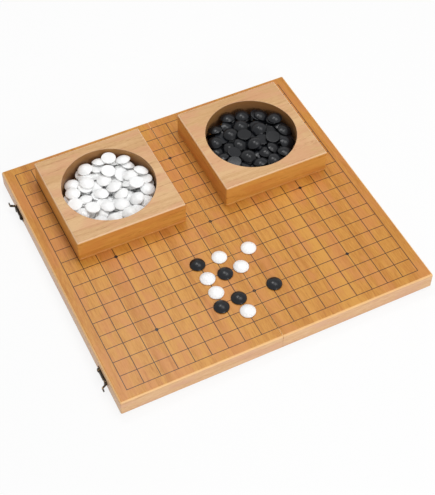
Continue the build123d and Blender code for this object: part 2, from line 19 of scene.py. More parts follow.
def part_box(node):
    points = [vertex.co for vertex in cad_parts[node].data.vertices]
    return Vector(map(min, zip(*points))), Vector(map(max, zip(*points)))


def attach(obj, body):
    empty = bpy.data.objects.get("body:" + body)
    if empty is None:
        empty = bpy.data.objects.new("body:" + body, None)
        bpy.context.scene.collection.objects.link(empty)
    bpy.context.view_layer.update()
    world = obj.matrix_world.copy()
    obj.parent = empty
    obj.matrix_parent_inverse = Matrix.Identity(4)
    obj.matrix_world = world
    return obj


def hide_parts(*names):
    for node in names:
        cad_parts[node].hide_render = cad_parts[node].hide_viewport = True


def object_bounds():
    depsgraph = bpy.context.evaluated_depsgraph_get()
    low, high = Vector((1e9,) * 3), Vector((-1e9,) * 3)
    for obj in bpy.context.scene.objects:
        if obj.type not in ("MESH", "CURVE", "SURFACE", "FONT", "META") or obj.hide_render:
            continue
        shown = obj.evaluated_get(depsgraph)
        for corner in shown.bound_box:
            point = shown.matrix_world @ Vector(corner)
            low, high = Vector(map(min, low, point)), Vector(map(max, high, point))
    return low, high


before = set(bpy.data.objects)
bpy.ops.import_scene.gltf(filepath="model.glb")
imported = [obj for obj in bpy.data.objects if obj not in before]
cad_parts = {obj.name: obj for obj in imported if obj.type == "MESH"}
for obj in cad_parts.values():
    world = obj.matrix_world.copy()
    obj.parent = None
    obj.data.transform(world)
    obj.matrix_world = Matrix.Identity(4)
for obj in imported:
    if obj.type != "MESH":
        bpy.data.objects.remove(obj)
PACKED_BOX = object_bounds()

log = logging.getLogger("go_board")
SHARP = 0.0002                  # radius of a corner that is as sharp as wood gets
FLAT_ANGLE = math.radians(0.6)  # faces nearer to one plane than this are merged
EDGE_ANGLE = math.radians(34)   # from which an edge is rounded
Color = tuple[float, float, float]
Point = tuple[float, float, float]


def linear(red: int, green: int, blue: int) -> Color:
    """A colour in linear light from its screen values of 0 to 255."""
    shares = [value / 255 for value in (red, green, blue)]
    return tuple(s / 12.92 if s <= 0.04045 else ((s + 0.055) / 1.055) ** 2.4 for s in shares)


# ---- Meshes ----

def add_piece(name: str, mesh: bpy.types.Mesh) -> bpy.types.Object:
    """Puts a mesh in the scene as an object at the origin.

    Args:
        name: The piece's name.
        mesh: Its mesh, already in place.

    Returns:
        The new object.
    """
    piece = bpy.data.objects.new(name, mesh)
    bpy.context.scene.collection.objects.link(piece)
    return piece


def ring_faces(rows: int, columns: int, closed: bool) -> np.ndarray:
    """Quads between the rows of a grid whose columns run round.

    Args:
        rows: Number of rows of vertices.
        columns: Vertices in each row.
        closed: Whether the last row is joined to the first.

    Returns:
        One row of four vertex numbers for each quad.
    """
    low = np.arange(rows if closed else rows - 1)[:, None] * columns
    high = (low + columns) % (rows * columns)
    here = np.arange(columns)[None, :]
    after = (here + 1) % columns
    quads = np.stack([low + here, low + after, high + after, high + here], axis=-1)
    return quads.reshape(-1, 4)


@dataclass(frozen=True)
class Shell:
    """Points and faces of a closed surface that can be placed many times."""

    points: np.ndarray
    faces: list

    def placed(self, turns: np.ndarray, middles: np.ndarray) -> "Shell":
        """Copies of the surface, each turned and moved.

        Args:
            turns: One 3 by 3 rotation for each copy.
            middles: One place for each copy.

        Returns:
            One shell that holds all the copies.
        """
        points = np.einsum("nij,mj->nmi", turns, self.points) + middles[:, None, :]
        count = len(self.points)
        faces = [[corner + count * copy for corner in face]
                 for copy in range(len(middles)) for face in self.faces]
        return Shell(points.reshape(-1, 3), faces)

    def piece(self, name: str) -> bpy.types.Object:
        """The surface as a smooth-shaded object at the origin.

        Args:
            name: The object's name.

        Returns:
            The new object.
        """
        mesh = bpy.data.meshes.new(name)
        mesh.from_pydata(self.points.tolist(), [], self.faces)
        mesh.shade_smooth()
        return add_piece(name, mesh)


def ring(angles: np.ndarray, reach: np.ndarray | float, z: float) -> np.ndarray:
    """Points (r cos a, r sin a, z) for each angle a, where r is one reach or one for each."""
    flat = [reach * np.cos(angles), reach * np.sin(angles)]
    return np.column_stack([*flat, np.full(len(angles), z)])


def capped(rings: list[np.ndarray], bottom: float, top: float) -> Shell:
    """Rings of points, closed by triangles to a pole on the Z axis at each end.

    Args:
        rings: Points of each ring, from the lowest to the highest.
        bottom: Height of the lower pole.
        top: Height of the upper pole.

    Returns:
        The closed surface.
    """
    count = len(rings[0])
    low = len(rings) * count
    last = low - count
    faces = ring_faces(len(rings), count, closed=False).tolist()
    faces += [[low, (i + 1) % count, i] for i in range(count)]
    faces += [[low + 1, last + i, last + (i + 1) % count] for i in range(count)]
    return Shell(np.concatenate([*rings, [[0, 0, bottom], [0, 0, top]]]), faces)


def turned(profile: np.ndarray, segments: int) -> Shell:
    """A profile turned about Z: each point (r, z) sweeps the circle (r cos a, r sin a, z).

    Args:
        profile: Rows of radius and height, from a pole on the axis to the other pole.
        segments: Points round each circle.

    Returns:
        The closed surface, with one vertex at each pole.
    """
    angles = np.linspace(0, 2 * np.pi, segments, endpoint=False)
    rings = [ring(angles, radius, z) for radius, z in profile[1:-1]]
    return capped(rings, profile[0, 1], profile[-1, 1])


def arc(middle: tuple[float, float], radius: float, start: float, end: float,
        steps: int) -> np.ndarray:
    """Points middle + radius (cos a, sin a), for even steps of a from start to end in degrees."""
    angles = np.radians(np.linspace(start, end, steps))
    return np.array(middle) + radius * np.stack([np.cos(angles), np.sin(angles)], axis=-1)


def outline_reach(angles: np.ndarray, half_x: float, half_y: float, corner: float) -> np.ndarray:
    """How far a rounded rectangle's edge lies from its middle in each direction.

    A direction (c, s) meets a straight side at half_x / c or half_y / s, or else the corner's
    circle round q at t, where t solves |t (c, s) - q| = corner.

    Args:
        angles: Directions in radians.
        half_x: Half the rectangle's length.
        half_y: Half its width.
        corner: Radius of its corners.

    Returns:
        One distance for each direction.
    """
    c, s = np.abs(np.cos(angles)), np.abs(np.sin(angles))
    q = np.array([half_x - corner, half_y - corner])
    end = half_x / np.maximum(c, 1e-9)
    side = half_y / np.maximum(s, 1e-9)
    along = c * q[0] + s * q[1]
    bend = along + np.sqrt(np.maximum(along**2 - q @ q + corner**2, 0))
    return np.where(end * s <= q[1], end, np.where(side * c <= q[0], side, bend))


def softened_copy(node: str, width: float = 0.0) -> bpy.types.Object:
    """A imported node's shape with merged points and its sharp edges rounded over.

    Args:
        node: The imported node.
        width: How far the rounding reaches from each edge, or 0 for none.

    Returns:
        The piece, which stands for the node.
    """
    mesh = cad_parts[node].data.copy()
    work = bmesh.new()
    work.from_mesh(mesh)
    bmesh.ops.remove_doubles(work, verts=work.verts, dist=1e-6)
    bmesh.ops.dissolve_limit(work, angle_limit=FLAT_ANGLE, verts=work.verts, edges=work.edges)
    work.to_mesh(mesh)
    work.free()
    if "custom_normal" in mesh.attributes:
        mesh.attributes.remove(mesh.attributes["custom_normal"])
    mesh.shade_smooth()
    piece = add_piece(f"{node}_dressed", mesh)
    if width:
        bevel = piece.modifiers.new("eased_edges", "BEVEL")
        bevel.width, bevel.segments = width, 2
        bevel.limit_method, bevel.angle_limit = "ANGLE", EDGE_ANGLE
    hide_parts(node)
    return piece


def finish(piece: bpy.types.Object, material: bpy.types.Material, body: str,
           crisp: float = 32.0) -> None:
    """Gives a piece its material, its body and even shading of its flat faces.

    Args:
        piece: The piece.
        material: Its material.
        body: The body that it rides on.
        crisp: Degrees between faces from which an edge stays crisp.
    """
    piece.data.set_sharp_from_angle(angle=math.radians(crisp))
    weighted = piece.modifiers.new("even_normals", "WEIGHTED_NORMAL")
    weighted.keep_sharp = True
    piece.data.materials.clear()
    piece.data.materials.append(material)
    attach(piece, body)


# ---- Shader nodes ----

# Cells of noise for each metre across the grain, and how it shifts.
WANDER_CELLS, PATCH_CELLS = 30.0, 48.0
BROAD_CELLS, MIDDLE_CELLS, FINE_CELLS = 45.0, 210.0, 900.0
WANDER_REACH = 0.004            # how far the grain sways
STRIP_SHIFT = 3.0               # how far along the figure of a strip may start
FIRST_STAR, STAR_SPACING = 3.0, 6.0     # in lines, from the outermost one
SPECK_CELLS = 4200.0                    # of the specks on metal
CLOUD_CELLS, PIT_CELLS = 160.0, 1400.0  # of the cloudy shade and fine pits of stones
TONES, BLUSHES = (0.37, 0.64), (0.44, 0.62)             # where noise turns into each shade
MIDDLE_STREAKS, FINE_STREAKS = (0.54, 0.7), (0.4, 0.7)
# Upright part of the normal: from sides to tops, and at both ends of a rounded edge, where the
# painted edge highlight goes.
TOP_FACES, EDGE_START, EDGE_END = (0.45, 0.8), (0.25, 0.6), (0.88, 0.99)


class Net:
    """A node tree that is being built, with short ways to add and join nodes."""

    def __init__(self, tree: bpy.types.NodeTree) -> None:
        """Keeps a material's or group's node tree."""
        self.tree = tree

    def add(self, kind: str, settings: dict | None = None, **inputs: object) -> bpy.types.Node:
        """Adds a node.

        Args:
            kind: The node's type.
            settings: Properties of the node itself.
            **inputs: What give takes.

        Returns:
            The node.
        """
        node = self.tree.nodes.new(kind)
        for key, value in (settings or {}).items():
            setattr(node, key, value)
        self.give(node, **inputs)
        return node

    def give(self, node: bpy.types.Node, **inputs: object) -> None:
        """Feeds values or sockets to a node's inputs, whose names have _ for a space."""
        for key, value in inputs.items():
            self.feed(node.inputs[key.replace("_", " ")], value)

    def feed(self, socket: bpy.types.NodeSocket, value: object) -> None:
        """Gives an input a value, or joins it to another node's output.

        Args:
            socket: The input.
            value: A number, a colour, a vector or an output socket.
        """
        if isinstance(value, bpy.types.NodeSocket):
            self.tree.links.new(value, socket)
        elif isinstance(value, tuple) and len(value) == 3 and socket.type == "RGBA":
            socket.default_value = (*value, 1.0)
        else:
            socket.default_value = value

    def math(self, operation: str, value: object, *others: object) -> bpy.types.NodeSocket:
        """Arithmetic from left to right, one step for each further value.

        Args:
            operation: The Math node's operation.
            value: A number or a socket.
            *others: More of them, or none for an operation on a single value.

        Returns:
            The result's socket.
        """
        for other in others or (0.0,):
            node = self.add("ShaderNodeMath", {"operation": operation})
            self.feed(node.inputs[0], value)
            self.feed(node.inputs[1], other)
            value = node.outputs[0]
        return value

    def times(self, *values: object) -> bpy.types.NodeSocket:
        """The product of numbers or sockets."""
        return self.math("MULTIPLY", *values)

    def plus(self, *values: object) -> bpy.types.NodeSocket:
        """The sum of numbers or sockets."""
        return self.math("ADD", *values)

    def minus(self, first: object, second: object) -> bpy.types.NodeSocket:
        """The first less the second."""
        return self.math("SUBTRACT", first, second)

    def most(self, *values: object) -> bpy.types.NodeSocket:
        """The greatest of numbers or sockets."""
        return self.math("MAXIMUM", *values)

    def ramp(self, value: object, low: object, high: object) -> bpy.types.NodeSocket:
        """A smooth step from 0, where a value is low, to 1, where it is high."""
        node = self.add("ShaderNodeMapRange", {"interpolation_type": "SMOOTHSTEP"}, Value=value,
                        From_Min=low, From_Max=high)
        return node.outputs[0]

    def blend(self, share: object, first: object, second: object) -> bpy.types.NodeSocket:
        """Mixes two colours.

        Args:
            share: How much of the second.
            first: First colour or socket.
            second: Second colour or socket.

        Returns:
            The mixed colour's socket.
        """
        node = self.add("ShaderNodeMix", {"data_type": "RGBA"})
        for key, value in (("Factor_Float", share), ("A_Color", first), ("B_Color", second)):
            self.feed(next(s for s in node.inputs if s.identifier == key), value)
        return next(s for s in node.outputs if s.identifier == "Result_Color")

    def noise(self, vector: object, scale: float, detail: float = 3.0,
              roughness: float = 0.5) -> bpy.types.NodeSocket:
        """Soft noise of about 0 to 1, whose scale is in cells for each metre of the vector."""
        node = self.add("ShaderNodeTexNoise", Vector=vector, Scale=scale, Detail=detail,
                        Roughness=roughness)
        return node.outputs["Fac"]

    def parts(self, vector: object) -> list[bpy.types.NodeSocket]:
        """The x, y and z of a vector."""
        return list(self.add("ShaderNodeSeparateXYZ", Vector=vector).outputs)

    def vector(self, x: object, y: object, z: object) -> bpy.types.NodeSocket:
        """A vector from its x, y and z."""
        return self.add("ShaderNodeCombineXYZ", X=x, Y=y, Z=z).outputs[0]


class Group:
    """A shader node group that is built once and placed in many materials."""

    def __init__(self, name: str, inputs: dict[str, str], outputs: tuple[str, ...]) -> None:
        """Makes the group's sockets.

        Args:
            name: The group's name.
            inputs: Socket names with Float or Vector.
            outputs: Names of the outputs, which are all numbers.
        """
        self.tree = bpy.data.node_groups.new(name, "ShaderNodeTree")
        for key, kind in inputs.items():
            self.tree.interface.new_socket(key, in_out="INPUT", socket_type=f"NodeSocket{kind}")
        for key in outputs:
            self.tree.interface.new_socket(key, in_out="OUTPUT", socket_type="NodeSocketFloat")
        self.net = Net(self.tree)
        self.given = self.tree.nodes.new("NodeGroupInput").outputs
        self.result = self.tree.nodes.new("NodeGroupOutput").inputs

    def place(self, net: Net, **inputs: object) -> dict[str, bpy.types.NodeSocket]:
        """Puts the group in a material's net, fed as give does. Returns its outputs by name."""
        node = net.add("ShaderNodeGroup", {"node_tree": self.tree}, **inputs)
        return {socket.name: socket for socket in node.outputs}


def grain_group() -> Group:
    """Wood grain along the vector's y axis, in glued strips across its x axis.

    Returns:
        The group. Tone is the broad shade, Blush the reddish patches, Streak the dark fine
        lines and Height the relief.
    """
    group = Group(
        "wood_grain",
        {"Vector": "Vector", "Strip": "Float", "Contrast": "Float", "Stretch": "Float"},
        ("Tone", "Blush", "Streak", "Height"),
    )
    net, given = group.net, group.given
    across, along, up = net.parts(given["Vector"])
    strip = net.math("FLOOR", net.math("DIVIDE", across, given["Strip"]))
    chance = net.add("ShaderNodeTexWhiteNoise", {"noise_dimensions": "3D"},
                     Vector=net.vector(strip, 0.0, 0.0)).outputs["Value"]
    wander = net.noise(net.vector(across, net.math("DIVIDE", along, 4.0), up), WANDER_CELLS, 1.0)
    bent = net.plus(across, net.times(wander, WANDER_REACH))
    shifted = net.plus(along, net.times(chance, STRIP_SHIFT))
    stretched = net.math("DIVIDE", shifted, given["Stretch"])
    place = net.vector(bent, stretched, up)
    broad = net.noise(place, BROAD_CELLS, 2.0)
    middle = net.noise(place, MIDDLE_CELLS, 3.0, 0.6)
    fine = net.noise(net.vector(bent, net.times(stretched, 2.0), up), FINE_CELLS, 3.0, 0.65)
    step = net.times(net.minus(chance, 0.5), given["Contrast"])
    tone = net.plus(net.times(broad, 0.3), net.times(middle, 0.3), net.times(fine, 0.4), step)
    net.feed(group.result["Tone"], tone)
    spread = net.vector(across, net.math("DIVIDE", along, 3.0), up)
    blush = net.ramp(net.noise(spread, PATCH_CELLS, 3.0, 0.6), *BLUSHES)
    net.feed(group.result["Blush"], blush)
    streak = net.times(net.ramp(middle, *MIDDLE_STREAKS), net.ramp(fine, *FINE_STREAKS))
    net.feed(group.result["Streak"], streak)
    net.feed(group.result["Height"], net.plus(net.times(fine, 0.6), net.times(middle, 0.4)))
    return group


def grid_group() -> Group:
    """The lines and star points of a playing grid, from a place on it in line numbers.

    Returns:
        The group. Ink is 1 on a line or star point.
    """
    group = Group(
        "playing_grid",
        {"Column": "Float", "Row": "Float", "Column Step": "Float", "Row Step": "Float",
         "Lines": "Float", "Line Width": "Float", "Star Radius": "Float", "Soft": "Float"},
        ("Ink",),
    )
    net, given = group.net, group.given
    half_width = net.times(given["Line Width"], 0.5)
    middle = net.times(net.minus(given["Lines"], 1.0), 0.5)

    def within(distance: object, reach: object) -> bpy.types.NodeSocket:
        """1 where a distance is less than a reach, with a soft edge."""
        return net.minus(1.0, net.ramp(net.minus(distance, reach), 0.0, given["Soft"]))

    lines, inside, squares = [], [], []
    for line in ("Column", "Row"):
        at, step = given[line], given[f"{line} Step"]
        off = net.math("ABSOLUTE", net.minus(at, net.math("ROUND", at)))
        lines.append(within(net.times(off, step), half_width))
        beyond = net.minus(net.math("ABSOLUTE", net.minus(at, middle)), middle)
        inside.append(within(net.times(beyond, step), half_width))
        star = net.math("DIVIDE", net.minus(at, FIRST_STAR), STAR_SPACING)
        off = net.times(net.minus(star, net.math("ROUND", star)), STAR_SPACING, step)
        squares.append(net.times(off, off))
    stars = within(net.math("SQRT", net.plus(*squares)), given["Star Radius"])
    net.feed(group.result["Ink"], net.times(net.most(*lines, stars), *inside))
    return group


def patina_group() -> Group:
    """Worn patches and fine specks on small metal parts.

    Returns:
        The group. Worn is 1 where the finish is rubbed, and Height is the relief.
    """
    group = Group("metal_patina", {"Vector": "Vector", "Patch": "Float"}, ("Worn", "Height"))
    net, given = group.net, group.given
    patches = net.noise(given["Vector"], given["Patch"], 4.0, 0.6)
    specks = net.noise(given["Vector"], SPECK_CELLS, 2.0, 0.5)
    worn = net.times(net.ramp(patches, 0.5, 0.68), net.ramp(specks, 0.3, 0.6))
    net.feed(group.result["Worn"], worn)
    net.feed(group.result["Height"], net.plus(net.times(patches, 0.5), net.times(specks, 0.5)))
    return group


class Grain(Enum):
    """The way that the grain of a wooden piece runs."""

    LENGTHWAYS = "x"        # from left to right
    FRONT_TO_BACK = "y"


@dataclass(frozen=True)
class Workshop:
    """The shared node groups that the finishes place in their materials."""

    grain: Group
    grid: Group
    patina: Group


@dataclass(frozen=True)
class PlayingGrid:
    """Where the lines lie on the playing surface."""

    lines: int = 19
    side_margin: float = 0.016      # board's end to the outermost column
    front_margin: float = 0.0155    # board's front to the outermost row
    line_width: float = 0.0008
    star_radius: float = 0.0024
    softness: float = 0.0002
    sunk: float = 1.2               # depth of the ink, as a share of the grain's relief

    def ink(self, net: Net, shop: Workshop, x: object, y: object) -> bpy.types.NodeSocket:
        """The share of ink at each place on the board.

        Args:
            net: The material's net.
            shop: The shared groups.
            x: The place from left to right.
            y: The place from front to back.

        Returns:
            The ink's socket.
        """
        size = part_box("right_panel")[1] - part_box("left_panel")[0]
        column_step = (size.x - 2 * self.side_margin) / (self.lines - 1)
        row_step = (size.y - 2 * self.front_margin) / (self.lines - 1)
        column = net.math("DIVIDE", net.plus(x, size.x / 2 - self.side_margin), column_step)
        row = net.math("DIVIDE", net.plus(y, size.y / 2 - self.front_margin), row_step)
        placed = shop.grid.place(
            net, Column=column, Row=row, Column_Step=column_step, Row_Step=row_step,
            Lines=float(self.lines), Line_Width=self.line_width, Star_Radius=self.star_radius,
            Soft=self.softness,
        )
        return placed["Ink"]


@dataclass(frozen=True)
class WoodColors:
    """The shades of one face of a piece of wood."""

    light: Color
    dark: Color
    blush: Color            # of the reddish patches
    streak: Color           # of the dark fine lines


@dataclass(frozen=True)
class WoodFinish:
    """Varnished wood, with one look on its upper and lower faces and another on its sides."""

    name: str
    face: WoodColors
    side: WoodColors
    run: Grain
    strip: float            # width of the glued strips
    contrast: float = 0.25  # difference of shade between the strips
    stretch: float = 16.0   # how much longer than wide the figure is
    blushing: float = 0.5   # strength of the reddish patches
    streaks: float = 0.5    # strength of the dark fine lines
    edge: Color = linear(255, 212, 152)     # painted highlight on rounded edges
    edge_highlight_share: float = 0.6                     # strength of that painted highlight
    well: Color = (0.0, 0.0, 0.0)           # painted shade at the bottom of a well's wall
    roughness: float = 0.42
    uneven: float = 0.16                    # how much the roughness varies
    gloss: float = 0.3                      # specular level
    coat: float = 0.1
    coat_roughness: float = 0.25
    pores: float = 0.00006                  # depth of the grain's relief
    grid: PlayingGrid | None = None

    def shades(self, net: Net, grain: dict, colors: WoodColors) -> bpy.types.NodeSocket:
        """Colours a grain.

        Args:
            net: The material's net.
            grain: The placed grain group's outputs.
            colors: The shades.

        Returns:
            The colour's socket.
        """
        color = net.blend(net.ramp(grain["Tone"], *TONES), colors.light, colors.dark)
        color = net.blend(net.times(grain["Blush"], self.blushing), color, colors.blush)
        return net.blend(net.times(grain["Streak"], self.streaks), color, colors.streak)

    def material(self, shop: Workshop) -> bpy.types.Material:
        """Builds the material.

        Args:
            shop: The shared groups.

        Returns:
            The material.
        """
        made, net, shader = new_material(self.name)
        where = net.add("ShaderNodeTexCoord").outputs
        place = where["Object"]
        x, y, z = net.parts(place)
        on_face = net.vector(y, x, z) if self.run is Grain.LENGTHWAYS else place
        on_side = net.vector(z, net.plus(x, y), 0.0)
        face, side = (
            shop.grain.place(net, Vector=at, Strip=self.strip, Contrast=self.contrast,
                             Stretch=self.stretch)
            for at in (on_face, on_side)
        )
        upward = net.parts(where["Normal"])[2]
        level = net.math("ABSOLUTE", upward)
        # upper faces and sides get separate colours; on the drawers this is partly painted light
        flat = net.ramp(level, *TOP_FACES)
        color = net.blend(flat, self.shades(net, side, self.side),
                          self.shades(net, face, self.face))
        # painted highlight along rounded edges
        rounded = net.times(net.ramp(level, *EDGE_START),
                            net.minus(1.0, net.ramp(level, *EDGE_END)))
        color = net.blend(net.times(rounded, self.edge_highlight_share), color, self.edge)
        # painted shade down a drawer's well wall, darkest at its bottom
        depth = net.add("ShaderNodeAttribute", {"attribute_name": "painted_well_shade"}).outputs["Fac"]
        color = net.blend(depth, color, self.well)
        height = net.most(net.times(face["Height"], flat),
                          net.times(side["Height"], net.minus(1.0, flat)))
        rough = net.plus(net.times(height, self.uneven), self.roughness - self.uneven / 2)
        if self.grid:
            ink = net.times(self.grid.ink(net, shop, x, y), net.ramp(upward, *TOP_FACES))
            color = net.blend(ink, color, INK)
            height = net.minus(height, net.times(ink, self.grid.sunk))
        net.give(shader, Base_Color=color, Roughness=rough, Specular_IOR_Level=self.gloss,
                 Coat_Weight=self.coat, Coat_Roughness=self.coat_roughness)
        relief(net, shader, height, self.pores, 0.35)
        return made


@dataclass(frozen=True)
class StoneFinish:
    """Polished stones, each of its own slight shade."""

    name: str
    light: Color
    dark: Color
    roughness: float
    coat: float
    gloss: float            # specular level, where 0.5 is plain glass
    coat_roughness: float = 0.15
    depth: float = 0.0      # how far light spreads inside, in metres
    inner: float = 0.4      # share of the light that does
    uneven: float = 0.1     # how much the roughness varies
    pits: float = 0.00003   # their depth

    def material(self) -> bpy.types.Material:
        """Builds the material, whose shade comes from the stones' own attribute.

        Returns:
            The material.
        """
        made, net, shader = new_material(self.name)
        place = net.add("ShaderNodeTexCoord").outputs["Object"]
        shade = net.add("ShaderNodeAttribute", {"attribute_name": "shade"}).outputs["Fac"]
        clouds = net.noise(place, CLOUD_CELLS)
        share = net.plus(net.times(shade, 0.6), net.times(clouds, 0.4))
        rough = net.plus(net.times(clouds, self.uneven), self.roughness - self.uneven / 2)
        net.give(shader, Base_Color=net.blend(share, self.light, self.dark), Roughness=rough,
                 Specular_IOR_Level=self.gloss, Coat_Weight=self.coat,
                 Coat_Roughness=self.coat_roughness)
        if self.depth:
            net.give(shader, Subsurface_Weight=self.inner, Subsurface_Radius=(1.0, 1.0, 1.0),
                     Subsurface_Scale=self.depth)
        relief(net, shader, net.noise(place, PIT_CELLS, 2.0), self.pits, 0.2)
        return made


@dataclass(frozen=True)
class MetalFinish:
    """A plated or lacquered metal that is rubbed in places."""

    name: str
    plating: Color
    worn: Color
    roughness: float
    patch: float            # size of the worn patches, as cells for each metre
    polish: float = 0.12    # how much smoother they are
    specks: float = 0.00004     # depth of the specks

    def material(self, shop: Workshop) -> bpy.types.Material:
        """Builds the material.

        Args:
            shop: The shared groups.

        Returns:
            The material.
        """
        made, net, shader = new_material(self.name)
        place = net.add("ShaderNodeTexCoord").outputs["Object"]
        patina = shop.patina.place(net, Vector=place, Patch=self.patch)
        rough = net.minus(self.roughness, net.times(patina["Worn"], self.polish))
        color = net.blend(patina["Worn"], self.plating, self.worn)
        net.give(shader, Base_Color=color, Roughness=rough, Metallic=1.0)
        relief(net, shader, patina["Height"], self.specks, 0.4)
        return made


def new_material(name: str) -> tuple[bpy.types.Material, Net, bpy.types.Node]:
    """An empty material with its main shader.

    Args:
        name: The material's name.

    Returns:
        The material, its net and its shader node.
    """
    made = bpy.data.materials.new(name)
    made.use_nodes = True
    return made, Net(made.node_tree), made.node_tree.nodes["Principled BSDF"]


def relief(net: Net, shader: bpy.types.Node, height: object, depth: float,
           strength: float) -> None:
    """Bumps the shader's normal by a share of a height, whose 1 stands for a depth in metres."""
    bump = net.add("ShaderNodeBump", Strength=strength, Distance=depth, Height=height)
    net.give(shader, Normal=bump.outputs["Normal"])


INK = linear(28, 9, 1)
BOARD_FACE = WoodColors(linear(207, 147, 63), linear(182, 117, 40), linear(201, 129, 72),
                        linear(138, 78, 24))
BOARD_SIDE = WoodColors(linear(234, 193, 146), linear(214, 165, 116), linear(216, 164, 134),
                        linear(182, 124, 84))
# drawer tops paler and sides deeper orange: partly painted sheen on the tops and painted orange
# bounce light on the sides, partly the wood's own tone
DRAWER_FACE = WoodColors(linear(216, 176, 128), linear(198, 154, 104), linear(208, 150, 114),
                         linear(156, 100, 60))
DRAWER_SIDE = WoodColors(linear(220, 160, 78), linear(198, 134, 54), linear(208, 134, 66),
                         linear(150, 86, 30))


class Palette:
    """Every finish of the set."""

    def __init__(self) -> None:
        """Builds the shared groups and the materials."""
        shop = Workshop(grain_group(), grid_group(), patina_group())
        y_way, x_way = Grain.FRONT_TO_BACK, Grain.LENGTHWAYS
        self.board = WoodFinish(
            "board_wood", BOARD_FACE, BOARD_SIDE, y_way, strip=0.024, contrast=0.1,
            stretch=20.0, streaks=0.32, grid=PlayingGrid(),
        ).material(shop)
        self.side_rail = WoodFinish("side_rail_wood", BOARD_SIDE, BOARD_SIDE, y_way,
                                    strip=1.0).material(shop)
        self.front_rail = WoodFinish("front_rail_wood", BOARD_SIDE, BOARD_SIDE, x_way,
                                     strip=1.0).material(shop)
        self.drawer = WoodFinish("drawer_wood", DRAWER_FACE, DRAWER_SIDE, x_way, strip=0.019,
                                 # edge: pale painted highlight on the drawer's rounded edges
                                 streaks=0.65, edge=linear(234, 198, 160),
                                 # well: painted shade at the bottom of the drawer's well
                                 well=linear(98, 72, 60)).material(shop)
        self.drawer_base = WoodFinish("drawer_base_wood", DRAWER_SIDE, DRAWER_SIDE, x_way,
                                      strip=0.03).material(shop)
        self.white_stone = StoneFinish(
            "white_stone", linear(253, 253, 250), linear(244, 245, 246), roughness=0.3,
            coat=0.2, gloss=0.4, depth=0.004,
        ).material()
        self.black_stone = StoneFinish(
            "black_stone", linear(8, 9, 12), linear(20, 22, 27), roughness=0.38, coat=0.35,
            gloss=0.1, coat_roughness=0.22,
        ).material()
        self.bronze = MetalFinish("antique_bronze", linear(52, 46, 40), linear(150, 122, 84),
                                  0.42, 260.0).material(shop)
        self.brass = MetalFinish("brass", linear(196, 158, 92), linear(224, 192, 128),
                                 0.34, 180.0).material(shop)


# ---- The set ----

